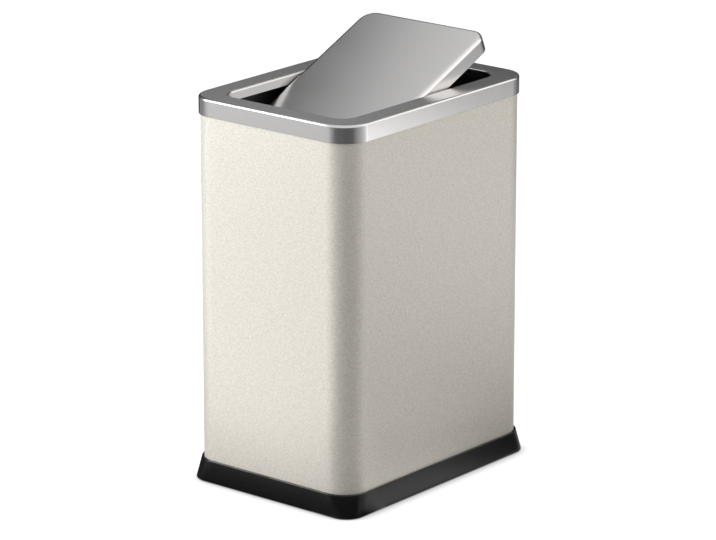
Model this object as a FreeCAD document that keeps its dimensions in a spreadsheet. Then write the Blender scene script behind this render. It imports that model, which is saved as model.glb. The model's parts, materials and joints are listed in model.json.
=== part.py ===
import FreeCAD, Part
import math
import os
import re
import Sketcher

# Flip-lid bin, millimetres, +Z up.
# The origin is the middle of the footprint on the floor. X runs across the narrow
# front face, Y runs back along the long side. The lid is tipped as in the picture.

# Driving dimensions: word, value, what it measures
SIZES = (
    ("overall_height", 320.5, "floor to the top of the steel frame"),
    ("body_width", 164.0, "casing outside, across the front"),
    ("body_depth", 228.0, "casing outside, front to back"),
    ("body_corner", 22.0, "casing outside corner radius"),
    ("shell_wall", 0.6, "casing sheet"),
    ("top_return", 6.5, "casing's inward fold at the top"),
    ("bottom_return", 14.0, "casing's inward fold at the bottom"),
    ("fold_radius", 1.5, "outside radius of the casing's folds"),
    ("base_height", 19.0, "floor to the top of the black skirt"),
    ("base_wall", 1.6, "skirt wall at its top edge"),
    ("base_flare", 3.8, "lean of the skirt's outside, degrees"),
    ("base_clearance", 0.15, "casing to skirt, per side"),
    ("base_floor", 2.5, "tray floor"),
    ("base_foot_corner", 16.0, "skirt's corner radius at its bottom edge"),
    ("base_edge", 1.0, "rounding of the skirt's edges"),
    ("rib_depth", 3.0, "ribs under the tray floor"),
    ("rib_wall", 1.6, "rib thickness"),
    ("rib_pitch", 40.0, "rib spacing"),
    ("rib_count", 5.0, "cross ribs under the tray"),
    ("foot_stand", 0.5, "skirt's bottom edge above the floor"),
    ("foot_diameter", 16.0, "rubber foot"),
    ("foot_socket", 1.5, "depth of the foot's socket"),
    ("foot_fit", 0.1, "foot to socket, per side"),
    ("foot_bevel", 0.4, "bevel at the foot's tread"),
    ("foot_inset", 26.0, "casing face to foot centre"),
    ("boss_wall", 1.8, "socket wall round a foot"),
    ("screw_diameter", 3.5, "base screw shank"),
    ("screw_head", 7.0, "base screw head diameter"),
    ("screw_head_height", 2.0, "base screw head height"),
    ("screw_bite", 5.0, "shank standing past the bottom fold"),
    ("screw_clearance", 0.1, "shank to hole, per side"),
    ("screw_inset", 8.0, "casing face to screw centre"),
    ("screw_spread", 120.0, "screw to screw along the side"),
    ("bucket_wall", 2.0, "bucket wall and floor"),
    ("bucket_draft", 1.2, "bucket wall lean, degrees"),
    ("bucket_rim", 2.0, "bucket rim thickness"),
    ("bucket_clearance", 0.8, "bucket to the casing's top fold, per side"),
    ("bucket_seat", 4.5, "width of rim that rests on the fold"),
    ("bucket_floor_gap", 8.0, "bucket bottom above the tray floor"),
    ("bucket_foot", 6.0, "outside rounding of the bucket's bottom"),
    ("bucket_well", 4.0, "inside rounding of the bucket's bottom"),
    ("rim_overhang", 1.5, "frame band outside the casing, per side"),
    ("frame_sheet", 0.8, "frame sheet"),
    ("band_height", 14.5, "outside band"),
    ("flange_width", 20.1, "flat top at the sides, outside to mouth"),
    ("flange_end", 19.2, "flat top at the front and back, outside to mouth"),
    ("lip_depth", 8.0, "lip turned down into the mouth"),
    ("lug_depth", 12.0, "lip's deeper lug at each pivot"),
    ("frame_bend", 1.8, "outside radius of the frame's bends"),
    ("mouth_corner", 14.0, "mouth corner radius"),
    ("lid_gap", 1.0, "lid to mouth, per side"),
    ("lid_sheet", 0.8, "lid sheet"),
    ("lid_skirt", 13.8, "lid depth over its skirt"),
    ("lid_bend", 3.5, "outside radius of the lid's top edge"),
    ("lid_recess", 0.5, "level lid below the frame's top"),
    ("lid_tilt", 23.5, "lid tilt in the picture, degrees"),
    ("pivot_drop", 7.5, "pivot below the frame's top"),
    ("pin_diameter", 4.0, "pivot pin"),
    ("pin_head", 6.0, "pivot pin head diameter"),
    ("pin_head_height", 1.5, "pivot pin head"),
    ("pin_running_fit", 0.06, "pin to bush, per side"),
    ("pin_press_fit", 0.02, "pin to skirt hole and bush to lip hole, per side"),
    ("pin_tail", 1.2, "pin past its clip"),
    ("bush_wall", 0.9, "bush barrel wall"),
    ("bush_flange", 9.0, "bush flange diameter"),
    ("bush_flange_height", 0.7, "bush flange thickness"),
    ("bush_tail", 0.6, "bush past the plate"),
    ("clip_sheet", 0.8, "clip thickness"),
    ("clip_diameter", 7.5, "clip outside"),
    ("clip_mouth", 2.6, "opening of the clip"),
    ("clip_grip", 0.35, "depth of the clip's groove in the pin"),
    ("clip_fit", 0.1, "clip to groove and to bush"),
    ("plate_sheet", 1.2, "pivot plate"),
    ("plate_width", 26.0, "pivot plate and lug along the lip"),
    ("stem_width", 9.0, "stem below the pivot plate"),
    ("stop_width", 4.0, "stop tab"),
    ("stop_reach", 2.0, "stop tab past the inside of the lid's skirt"),
    ("stop_gap", 0.3, "lid to stop tab at the end of the swing"),
    ("swing_limit", 70.0, "lid swing each way from level, degrees"),
    ("weight_end_gap", 13.3, "lid's side to the end of the counterweight bar"),
    ("weight_side", 12.0, "bar section"),
    ("weight_bevel", 1.0, "bar edges"),
    ("weight_drop", 20.0, "bar centre below the pivot"),
    ("hanger_sheet", 1.2, "strap thickness"),
    ("hanger_width", 12.0, "strap width"),
    ("hanger_foot", 14.0, "strap's welded foot"),
    ("hanger_round", 4.8, "rounding of the strap's lower end"),
    ("hanger_bend", 2.0, "outside radius of the strap's bend"),
    ("weight_screw", 4.0, "weight screw shank"),
    ("weight_screw_head", 7.5, "weight screw head diameter"),
    ("weight_screw_rise", 2.6, "weight screw head height"),
    ("weight_screw_depth", 9.0, "shank inside the bar"),
)
NAMES = {word for word, value, note in SIZES}

doc = FreeCAD.newDocument("flip_lid_bin")
sheet = doc.addObject("Spreadsheet::Sheet", "Sizes")
for row, (word, value, note) in enumerate(SIZES, start=1):
    sheet.set(f"A{row}", note)
    sheet.set(f"B{row}", str(value))
    sheet.setAlias(f"B{row}", word)
doc.recompute()

# Levels and spans that several pieces share, as expressions of the sheet's words
TRAY_FLOOR_UNDER = "(foot_stand + rib_depth)"
TRAY_FLOOR_TOP = "(foot_stand + rib_depth + base_floor)"
FRAME_UNDER = "(overall_height - frame_sheet)"
SHELL_TOP = "(overall_height - frame_sheet - bucket_rim)"
FRAME_WIDTH = "(body_width + 2*rim_overhang)"
FRAME_DEPTH = "(body_depth + 2*rim_overhang)"
FRAME_CORNER = "(body_corner + rim_overhang)"
MOUTH_WIDTH = "(body_width + 2*rim_overhang - 2*flange_width)"
MOUTH_DEPTH = "(body_depth + 2*rim_overhang - 2*flange_end)"
LID_WIDTH = f"({MOUTH_WIDTH} - 2*lid_gap)"
LID_DEPTH = f"({MOUTH_DEPTH} - 2*lid_gap)"
LID_CORNER = "(mouth_corner - lid_gap)"
LID_TOP = "(pivot_drop - lid_recess)"
WEIGHT_END = f"({LID_WIDTH}/2 - weight_end_gap)"
SKIRT_BELOW_PIVOT = "(lid_skirt - pivot_drop + lid_recess)"
PIVOT_HEIGHT = "(overall_height - pivot_drop)"
LIP_OUTSIDE = f"({MOUTH_WIDTH}/2 + frame_sheet)"
BUSH_BORE = "(pin_diameter/2 + pin_running_fit)"
BUSH_BARREL = "(pin_diameter/2 + pin_running_fit + bush_wall)"
BUSH_END = f"({LIP_OUTSIDE} + plate_sheet + bush_tail)"
GROOVE = f"({BUSH_END} + clip_fit)"
STOP_DROP = (f"(({SKIRT_BELOW_PIVOT} + stop_gap + stop_width/2*sin(swing_limit*1deg))"
             " / cos(swing_limit*1deg))")
SCREW_X = "(body_width/2 - screw_inset)"
SCREW_Y = "(screw_spread/2)"
FOOT_X = "(body_width/2 - foot_inset)"
FOOT_Y = "(body_depth/2 - foot_inset)"

# Where a body sits: at the floor, or on the tipped lid, or turned to the left side
LID_PLACE = f"placement(vector(0;0;{PIVOT_HEIGHT}); rotation(vector(1;0;0); lid_tilt))"
FLOOR_PLACE = "placement(vector(0;0;0); rotation(vector(0;0;1); 0))"
LEFT_TURN = "placement(vector(0;0;0); rotation(vector(0;0;1); 180))"
LEFT_PIVOT = f"placement(vector(0;0;{PIVOT_HEIGHT}); rotation(vector(0;0;1); 180))"
RIGHT_PIVOT = f"placement(vector(0;0;{PIVOT_HEIGHT}); rotation(vector(0;0;1); 0))"

SUBPARTS = []


def tied(text):
    """The same expression with every size word pointed at the sheet."""
    return re.sub(r"[a-z_]+", lambda found: ("Sizes." if found[0] in NAMES else "") + found[0], str(text))


def number(text):
    """What an expression of sizes comes to."""
    return float(sheet.evalExpression(tied(text)))


def make_body(label, place=FLOOR_PLACE, subpart=True):
    body = doc.addObject("PartDesign::Body", label)
    body.Label = label
    body.setExpression("Placement", tied(place))
    if subpart:
        SUBPARTS.append(body)
    return body


def make_sketch(body, plane, level="0"):
    """A sketch on one of the body's own origin planes, moved out by level."""
    sketch = body.newObject("Sketcher::SketchObject", f"{body.Name}_outline")
    flat = next(item for item in body.Origin.OriginFeatures if item.Role == plane)
    sketch.AttachmentSupport = [(flat, "")]
    sketch.MapMode = "FlatFace"
    sketch.setExpression("AttachmentOffset.Base.z", tied(level))
    return sketch


def dimension(sketch, kind, places, text):
    """A driving dimension bound to the sheet."""
    value = number(text)
    index = sketch.addConstraint(Sketcher.Constraint(kind, *places, value))
    sketch.setExpression(f"Constraints[{index}]", tied(text))


def rounded_rectangle(sketch, width, depth, radius):
    """Four sides and four tangent corner arcs, centred on the sketch's origin."""
    half_x, half_y, corner = number(width) / 2, number(depth) / 2, number(radius)
    turns = ((1, -1, -90), (1, 1, 0), (-1, 1, 90), (-1, -1, 180))
    arcs = []
    for sign_x, sign_y, start in turns:
        centre = FreeCAD.Vector(sign_x * (half_x - corner), sign_y * (half_y - corner), 0)
        full = Part.Circle(centre, FreeCAD.Vector(0, 0, 1), corner)
        arcs.append(Part.ArcOfCircle(full, math.radians(start), math.radians(start + 90)))
    arc_ids = [sketch.addGeometry(arc, False) for arc in arcs]
    side_ids = []
    for near, far in zip(arcs, arcs[1:] + arcs[:1]):
        side_ids.append(sketch.addGeometry(Part.LineSegment(near.EndPoint, far.StartPoint), False))
    for place, side in enumerate(side_ids):
        sketch.addConstraint(Sketcher.Constraint("Tangent", arc_ids[place], 2, side, 1))
        sketch.addConstraint(Sketcher.Constraint("Tangent", side, 2, arc_ids[(place + 1) % 4], 1))
        level = "Vertical" if place % 2 == 0 else "Horizontal"
        sketch.addConstraint(Sketcher.Constraint(level, side))
    for other in arc_ids[1:]:
        sketch.addConstraint(Sketcher.Constraint("Equal", arc_ids[0], other))
    sketch.addConstraint(Sketcher.Constraint("Symmetric", arc_ids[0], 3, arc_ids[2], 3, -1, 1))
    dimension(sketch, "Radius", (arc_ids[0],), radius)
    dimension(sketch, "DistanceX", (side_ids[2], 1, side_ids[0], 1), width)
    dimension(sketch, "DistanceY", (side_ids[3], 1, side_ids[1], 1), depth)


def polygon(sketch, corners):
    """A closed outline whose corners are each set by two expressions."""
    points = [FreeCAD.Vector(number(across), number(up), 0) for across, up in corners]
    sides = []
    for start, end in zip(points, points[1:] + points[:1]):
        sides.append(sketch.addGeometry(Part.LineSegment(start, end), False))
    for place, side in enumerate(sides):
        following = sides[(place + 1) % len(sides)]
        sketch.addConstraint(Sketcher.Constraint("Coincident", side, 2, following, 1))
        for kind, text in zip(("DistanceX", "DistanceY"), corners[place]):
            dimension(sketch, kind, (-1, 1, side, 1), text)


def circle(sketch, diameter, across="0", up="0"):
    centre = FreeCAD.Vector(number(across), number(up), 0)
    ring = sketch.addGeometry(Part.Circle(centre, FreeCAD.Vector(0, 0, 1), number(diameter) / 2), False)
    dimension(sketch, "Diameter", (ring,), diameter)
    dimension(sketch, "DistanceX", (-1, 1, ring, 3), across)
    dimension(sketch, "DistanceY", (-1, 1, ring, 3), up)


def extrude(body, kind, sketch, length, down=False, middle=False):
    """A Pad or Pocket along the sketch's normal, or against it when down is set."""
    before = body.Tip.Shape.Volume if kind == "Pocket" else 0.0
    feature = body.newObject(f"PartDesign::{kind}", f"{body.Name}_{kind.lower()}")
    feature.Profile = sketch
    feature.setExpression("Length", tied(length))
    feature.Midplane = middle
    # A Pocket's own forward direction runs against the sketch's normal
    feature.Reversed = down if kind == "Pad" else not down
    doc.recompute()
    if kind == "Pocket" and not feature.Shape.Volume < before:
        raise RuntimeError(f"{feature.Name} cut nothing")
    return feature


def pad(body, sketch, length, **how):
    return extrude(body, "Pad", sketch, length, **how)


def pocket(body, sketch, length, **how):
    return extrude(body, "Pocket", sketch, length, **how)


def loft(body, kind, first, last):
    feature = body.newObject(f"PartDesign::{kind}Loft", f"{body.Name}_loft")
    feature.Profile = first
    feature.Sections = [last]
    feature.Ruled = True
    doc.recompute()
    return feature


def revolve(body, sketch, axis):
    feature = body.newObject("PartDesign::Revolution", f"{body.Name}_turned")
    feature.Profile = sketch
    feature.ReferenceAxis = (sketch, [axis])
    feature.Angle = 360
    doc.recompute()
    return feature


def edges_of(body, chosen):
    """Names of the tip's edges for which chosen(box) holds, in the body's own frame."""
    names = []
    for place, edge in enumerate(body.Tip.Shape.Edges, start=1):
        if chosen(edge.BoundBox):
            names.append(f"Edge{place}")
    return names


def dress(body, kind, size, chosen):
    """A Fillet or Chamfer on the chosen edges."""
    names = edges_of(body, chosen)
    if not names:
        raise RuntimeError(f"{body.Name}: no edges for its {kind.lower()}")
    base = body.Tip
    feature = body.newObject(f"PartDesign::{kind}", f"{body.Name}_{kind.lower()}")
    feature.Base = (base, names)
    feature.setExpression("Radius" if kind == "Fillet" else "Size", tied(size))
    doc.recompute()
    return feature


def at_level(box, level):
    return abs(box.ZMin - level) < 1e-4 and abs(box.ZMax - level) < 1e-4


def half_span(box):
    """How far from the middle an edge reaches, across or along."""
    return max(abs(box.XMin), abs(box.XMax)), max(abs(box.YMin), abs(box.YMax))


def within(box, width, depth):
    """True where an edge lies inside a centred rectangle of this size."""
    reach_x, reach_y = half_span(box)
    return reach_x < number(width) / 2 + 1e-3 and reach_y < number(depth) / 2 + 1e-3


# Casing: one sheet rolled round, folded inward at the top and the bottom
def make_body_shell():
    body = make_body("body_shell")
    height = f"({SHELL_TOP} - {TRAY_FLOOR_TOP})"
    outline = make_sketch(body, "XY_Plane", TRAY_FLOOR_TOP)
    rounded_rectangle(outline, "body_width", "body_depth", "body_corner")
    pad(body, outline, height)
    inside = make_sketch(body, "XY_Plane", f"{TRAY_FLOOR_TOP} + shell_wall")
    inner_width, inner_depth = "body_width - 2*shell_wall", "body_depth - 2*shell_wall"
    rounded_rectangle(inside, inner_width, inner_depth, "body_corner - shell_wall")
    pocket(body, inside, f"{height} - 2*shell_wall")
    for level, fold in ((f"{SHELL_TOP} - shell_wall", "top_return"), (TRAY_FLOOR_TOP, "bottom_return")):
        mouth = make_sketch(body, "XY_Plane", level)
        rounded_rectangle(mouth, f"body_width - 2*{fold}", f"body_depth - 2*{fold}",
                          f"body_corner - {fold}")
        pocket(body, mouth, "shell_wall")
    top, bottom, wall = number(SHELL_TOP), number(TRAY_FLOOR_TOP), number("shell_wall")
    mouths = {"top_return": (top, top - wall), "bottom_return": (bottom, bottom + wall)}
    for radius, face in (("fold_radius - shell_wall", 1), ("fold_radius", 0)):
        dress(body, "Fillet", radius, lambda box: any(
            at_level(box, levels[face])
            and not within(box, f"body_width - 2*{fold}", f"body_depth - 2*{fold}")
            for fold, levels in mouths.items()))
    holes = make_sketch(body, "XY_Plane", TRAY_FLOOR_TOP)
    for side in ("", "-"):
        for end in ("", "-"):
            circle(holes, "screw_diameter + 2*screw_clearance", side + SCREW_X, end + SCREW_Y)
    pocket(body, holes, "shell_wall")


# Base: flared skirt with tighter corners at the floor, floor, ribs and foot sockets, in one moulding
def make_base_tray():
    body = make_body("base_tray")
    skirt = "(base_height - foot_stand)"
    ledge = "(base_clearance + base_wall)"
    outer = f"({ledge} + {skirt}*tan(base_flare*1deg))"
    bottom_edge = make_sketch(body, "XY_Plane", "foot_stand")
    rounded_rectangle(bottom_edge, f"body_width + 2*{outer}", f"body_depth + 2*{outer}", "base_foot_corner")
    top_edge = make_sketch(body, "XY_Plane", "base_height")
    rounded_rectangle(top_edge, f"body_width + 2*{ledge}", f"body_depth + 2*{ledge}",
                      f"body_corner + {ledge}")
    loft(body, "Additive", bottom_edge, top_edge)
    well = make_sketch(body, "XY_Plane", TRAY_FLOOR_TOP)
    rounded_rectangle(well, "body_width + 2*base_clearance", "body_depth + 2*base_clearance",
                      "body_corner + base_clearance")
    pocket(body, well, f"base_height - {TRAY_FLOOR_TOP}")
    under = make_sketch(body, "XY_Plane", "foot_stand")
    rounded_rectangle(under, "body_width - 2*base_wall", "body_depth - 2*base_wall",
                      "body_corner - base_wall")
    pocket(body, under, "rib_depth")
    tread, rim = number("foot_stand"), number("base_height")
    dress(body, "Fillet", "base_edge", lambda box: (
        at_level(box, tread) and not within(box, "body_width", "body_depth")))
    dress(body, "Fillet", "min(base_edge; base_wall/2)", lambda box: (
        at_level(box, rim)
        and not within(box, "body_width + 2*base_clearance", "body_depth + 2*base_clearance")))

    rib = make_sketch(body, "XY_Plane", "foot_stand")
    first = "(-rib_pitch*(rib_count - 1)/2)"
    reach = "(body_width/2 - base_wall)"
    polygon(rib, (("-" + reach, f"{first} - rib_wall/2"), (reach, f"{first} - rib_wall/2"),
                  (reach, f"{first} + rib_wall/2"), ("-" + reach, f"{first} + rib_wall/2")))
    cross_rib = pad(body, rib, "rib_depth")
    row = body.newObject("PartDesign::LinearPattern", "base_tray_rib_row")
    row.Originals = [cross_rib]
    row.Direction = (rib, ["V_Axis"])
    row.setExpression("Length", tied("rib_pitch*(rib_count - 1)"))
    row.setExpression("Occurrences", tied("rib_count"))
    body.Tip = row
    doc.recompute()

    bosses = make_sketch(body, "XY_Plane", "foot_stand")
    sockets = make_sketch(body, "XY_Plane", "foot_stand")
    screw_holes = make_sketch(body, "XY_Plane", TRAY_FLOOR_UNDER)
    for side in ("", "-"):
        for end in ("", "-"):
            circle(bosses, "foot_diameter + 2*foot_fit + 2*boss_wall", side + FOOT_X, end + FOOT_Y)
            circle(sockets, "foot_diameter + 2*foot_fit", side + FOOT_X, end + FOOT_Y)
            circle(screw_holes, "screw_diameter + 2*screw_clearance", side + SCREW_X, end + SCREW_Y)
    pad(body, bosses, "rib_depth")
    pocket(body, sockets, "foot_socket")
    pocket(body, screw_holes, "base_floor")


# Feet: rubber discs seated in the tray's sockets
def make_foot(label, side, end):
    place = f"placement(vector({side}{FOOT_X};{end}{FOOT_Y};0); rotation(vector(0;0;1); 0))"
    body = make_body(label, place)
    section = make_sketch(body, "XZ_Plane")
    polygon(section, (("0", "0"), ("foot_diameter/2 - foot_bevel", "0"), ("foot_diameter/2", "foot_bevel"),
                      ("foot_diameter/2", "foot_stand + foot_socket"), ("0", "foot_stand + foot_socket")))
    revolve(body, section, "V_Axis")


# Base screws: one turned screw and its three mirror images
def make_base_screws():
    place = f"placement(vector({SCREW_X};{SCREW_Y};{TRAY_FLOOR_UNDER}); rotation(vector(0;0;1); 0))"
    screw = make_body("base_screw", place, subpart=False)
    section = make_sketch(screw, "XZ_Plane")
    tip = "(base_floor + shell_wall + screw_bite)"
    polygon(section, (("0", "-screw_head_height"), ("screw_head/4", "-screw_head_height"),
                      ("screw_head/2", "-screw_head_height/2"), ("screw_head/2", "0"),
                      ("screw_diameter/2", "0"), ("screw_diameter/2", f"{tip} - screw_diameter/2"),
                      ("0", tip)))
    revolve(screw, section, "V_Axis")
    copies = [screw]
    for name, normal in (("across", (1, 0, 0)), ("along", (0, 1, 0))):
        for source in list(copies):
            image = doc.addObject("Part::Mirroring", f"{source.Name}_{name}")
            image.Source = source
            image.Normal = FreeCAD.Vector(*normal)
            copies.append(image)
    make_group("base_screws", copies)


def make_group(label, members):
    group = doc.addObject("Part::Compound", label)
    group.Label = label
    group.Links = members
    doc.recompute()
    SUBPARTS.append(group)


# Inner bucket: tapered pail that hangs by its rim
def make_inner_bucket():
    body = make_body("inner_bucket")
    width = "(body_width - 2*top_return - 2*bucket_clearance)"
    depth = "(body_depth - 2*top_return - 2*bucket_clearance)"
    corner = "(body_corner - top_return - bucket_clearance)"
    bottom = f"({TRAY_FLOOR_TOP} + bucket_floor_gap)"
    lean = f"(({SHELL_TOP} - {bottom})*tan(bucket_draft*1deg))"

    def wall_outline(level, inset):
        outline = make_sketch(body, "XY_Plane", level)
        rounded_rectangle(outline, f"{width} - 2*({inset})", f"{depth} - 2*({inset})", corner)
        return outline

    loft(body, "Additive", wall_outline(SHELL_TOP, "0"), wall_outline(bottom, lean))
    foot = number(bottom)
    dress(body, "Fillet", "bucket_foot", lambda box: at_level(box, foot))
    rim = make_sketch(body, "XY_Plane", SHELL_TOP)
    seat = "(bucket_clearance + bucket_seat)"
    rounded_rectangle(rim, f"{width} + 2*{seat}", f"{depth} + 2*{seat}", f"{corner} + {seat}")
    pad(body, rim, "bucket_rim")
    loft(body, "Subtractive", wall_outline(f"{SHELL_TOP} + bucket_rim", "bucket_wall"),
         wall_outline(f"{bottom} + bucket_wall", f"{lean} + bucket_wall"))
    floor = number(f"{bottom} + bucket_wall")
    dress(body, "Fillet", "bucket_well", lambda box: at_level(box, floor))


# Top frame: band, flange and turned-down lip pressed from one sheet
def make_top_frame():
    body = make_body("top_frame")
    outline = make_sketch(body, "XY_Plane", "overall_height - band_height")
    rounded_rectangle(outline, FRAME_WIDTH, FRAME_DEPTH, FRAME_CORNER)
    pad(body, outline, "band_height")
    inside = make_sketch(body, "XY_Plane", "overall_height - band_height")
    rounded_rectangle(inside, f"{FRAME_WIDTH} - 2*frame_sheet", f"{FRAME_DEPTH} - 2*frame_sheet",
                      f"{FRAME_CORNER} - frame_sheet")
    pocket(body, inside, "band_height - frame_sheet")
    lip = make_sketch(body, "XY_Plane", "overall_height - lip_depth")
    rounded_rectangle(lip, f"{MOUTH_WIDTH} + 2*frame_sheet", f"{MOUTH_DEPTH} + 2*frame_sheet",
                      "mouth_corner + frame_sheet")
    pad(body, lip, "lip_depth - frame_sheet")
    lugs = make_sketch(body, "YZ_Plane")
    low, high, fold = ("(overall_height - lug_depth)", "(overall_height - lip_depth)",
                       "(overall_height - frame_bend)")
    half, foot = "plate_width/2", "(plate_width/2 - (lug_depth - lip_depth))"
    right = ((half, fold), (half, high), (foot, low))
    polygon(lugs, right + tuple(("-" + across, up) for across, up in reversed(right)))
    pad(body, lugs, f"2*{LIP_OUTSIDE}", middle=True)
    mouth = make_sketch(body, "XY_Plane", low)
    rounded_rectangle(mouth, MOUTH_WIDTH, MOUTH_DEPTH, "mouth_corner")
    pocket(body, mouth, "lug_depth")
    top, under = number("overall_height"), number(FRAME_UNDER)
    dress(body, "Fillet", "frame_bend - frame_sheet", lambda box: at_level(box, under))
    dress(body, "Fillet", "frame_bend", lambda box: at_level(box, top))
    holes = make_sketch(body, "YZ_Plane")
    circle(holes, f"2*({BUSH_BARREL} + pin_press_fit)", "0", PIVOT_HEIGHT)
    pocket(body, holes, f"2*({LIP_OUTSIDE} + plate_sheet)", middle=True)


# Pivot plates: doublers behind the lip, with a stem and a stop tab under the pivot
def make_pivot_plate(label, place):
    body = make_body(label, place)
    top = "(pivot_drop - frame_bend)"
    lip_end = "(pivot_drop - lip_depth)"
    foot = f"(-{STOP_DROP} - plate_sheet)"
    plate = make_sketch(body, "YZ_Plane", LIP_OUTSIDE)
    half, stem = "plate_width/2", "stem_width/2"
    shoulder = f"{lip_end} - (plate_width - stem_width)/2"
    right = ((half, top), (half, lip_end), (stem, shoulder), (stem, foot))
    left = tuple(("-" + across, up) for across, up in reversed(right))
    polygon(plate, right + left)
    pad(body, plate, "plate_sheet")
    tab = make_sketch(body, "XY_Plane", foot)
    tip = f"({LID_WIDTH}/2 - lid_sheet - stop_reach)"
    back = f"({LIP_OUTSIDE} + plate_sheet)"
    polygon(tab, ((tip, "-stop_width/2"), (back, "-stop_width/2"),
                  (back, "stop_width/2"), (tip, "stop_width/2")))
    pad(body, tab, "plate_sheet")
    hole = make_sketch(body, "YZ_Plane", LIP_OUTSIDE)
    circle(hole, f"2*({BUSH_BARREL} + pin_press_fit)")
    pocket(body, hole, "plate_sheet")


# Pivot bushes: flange inside the mouth, barrel through the lip and the plate
def make_pivot_bush(label, place):
    body = make_body(label, place)
    section = make_sketch(body, "XY_Plane")
    face = f"({MOUTH_WIDTH}/2)"
    polygon(section, ((f"{face} - bush_flange_height", BUSH_BORE), (BUSH_END, BUSH_BORE),
                      (BUSH_END, BUSH_BARREL), (face, BUSH_BARREL), (face, "bush_flange/2"),
                      (f"{face} - bush_flange_height", "bush_flange/2")))
    revolve(body, section, "H_Axis")


# Pivot pins: head inside the lid's skirt, groove for the clip at the far end
def make_pivot_pin(label, place):
    body = make_body(label, place)
    section = make_sketch(body, "XY_Plane")
    skirt = f"({LID_WIDTH}/2 - lid_sheet)"
    groove_end = f"({GROOVE} + clip_sheet + 2*clip_fit)"
    shank, neck = "pin_diameter/2", "(pin_diameter/2 - clip_grip)"
    polygon(section, ((f"{skirt} - pin_head_height", "0"), (f"{skirt} - pin_head_height", "pin_head/2"),
                      (skirt, "pin_head/2"), (skirt, shank), (GROOVE, shank), (GROOVE, neck),
                      (groove_end, neck), (groove_end, shank), (f"{groove_end} + pin_tail", shank),
                      (f"{groove_end} + pin_tail", "0")))
    revolve(body, section, "H_Axis")


# Pin clips: open spring rings in the pins' grooves
def make_pin_clip(label, place):
    body = make_body(label, place)
    start = f"({GROOVE} + clip_fit)"
    neck = "(pin_diameter/2 - clip_grip + clip_fit)"
    ring = make_sketch(body, "YZ_Plane", start)
    circle(ring, "clip_diameter")
    circle(ring, f"2*{neck}")
    pad(body, ring, "clip_sheet")
    gap = make_sketch(body, "YZ_Plane", start)
    half = "(clip_mouth/2)"
    polygon(gap, (("-" + half, "-clip_diameter"), (half, "-clip_diameter"), (half, "0"), ("-" + half, "0")))
    pocket(body, gap, "clip_sheet")


# Lid: panel with a turned-down skirt, pressed from one sheet
def make_lid_panel():
    body = make_body("lid_panel", LID_PLACE)
    bottom = f"(-{SKIRT_BELOW_PIVOT})"
    outline = make_sketch(body, "XY_Plane", bottom)
    rounded_rectangle(outline, LID_WIDTH, LID_DEPTH, LID_CORNER)
    pad(body, outline, "lid_skirt")
    inside = make_sketch(body, "XY_Plane", bottom)
    rounded_rectangle(inside, f"{LID_WIDTH} - 2*lid_sheet", f"{LID_DEPTH} - 2*lid_sheet",
                      f"{LID_CORNER} - lid_sheet")
    pocket(body, inside, "lid_skirt - lid_sheet")
    top, under = number(LID_TOP), number(f"{LID_TOP} - lid_sheet")
    dress(body, "Fillet", "lid_bend - lid_sheet", lambda box: at_level(box, under))
    dress(body, "Fillet", "lid_bend", lambda box: at_level(box, top))
    holes = make_sketch(body, "YZ_Plane")
    circle(holes, "pin_diameter + 2*pin_press_fit")
    pocket(body, holes, LID_WIDTH, middle=True)


# Counterweight: bar across the lid, below the pivot line
def make_counterweight():
    body = make_body("lid_counterweight", LID_PLACE)
    section = make_sketch(body, "YZ_Plane")
    half = "(weight_side/2)"
    low, high = f"(-weight_drop - {half})", f"(-weight_drop + {half})"
    polygon(section, (("-" + half, low), (half, low), (half, high), ("-" + half, high)))
    pad(body, section, f"2*{WEIGHT_END}", middle=True)
    length = number(f"2*{WEIGHT_END}")
    dress(body, "Chamfer", "weight_bevel", lambda box: abs(box.XLength - length) < 1e-4)
    for level in (f"({WEIGHT_END} - weight_screw_depth - weight_screw/2)", f"(-{WEIGHT_END})"):
        hole = make_sketch(body, "YZ_Plane", level)
        circle(hole, "weight_screw + 2*screw_clearance", "0", "-weight_drop")
        pocket(body, hole, "weight_screw_depth + weight_screw/2")


# Hangers: folded straps welded under the panel, one at each end of the bar
def make_hanger(label, place):
    body = make_body(label, place)
    inner = WEIGHT_END
    outer = f"({WEIGHT_END} + hanger_sheet)"
    top = f"({LID_TOP} - lid_sheet)"
    half = "(hanger_width/2)"
    low = "(-weight_drop - weight_side/2)"
    leg = make_sketch(body, "YZ_Plane", inner)
    polygon(leg, (("-" + half, low), (half, low), (half, top), ("-" + half, top)))
    pad(body, leg, "hanger_sheet")
    foot = make_sketch(body, "XY_Plane", f"{top} - hanger_sheet")
    tip = f"({outer} - hanger_foot)"
    polygon(foot, ((tip, "-" + half), (outer, "-" + half), (outer, half), (tip, half)))
    pad(body, foot, "hanger_sheet")
    high, bend, end = number(top), number("hanger_sheet"), number(outer)
    dress(body, "Fillet", "hanger_bend - hanger_sheet", lambda box: (
        at_level(box, high - bend) and abs(box.XMin - end + bend) < 1e-4 and abs(box.XLength) < 1e-4))
    dress(body, "Fillet", "hanger_bend", lambda box: (
        at_level(box, high) and abs(box.XMin - end) < 1e-4))
    bottom = number(low)
    dress(body, "Fillet", "hanger_round", lambda box: (
        at_level(box, bottom) and abs(box.XLength - bend) < 1e-4))
    hole = make_sketch(body, "YZ_Plane", inner)
    circle(hole, "weight_screw + 2*screw_clearance", "0", "-weight_drop")
    pocket(body, hole, "hanger_sheet")


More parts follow.
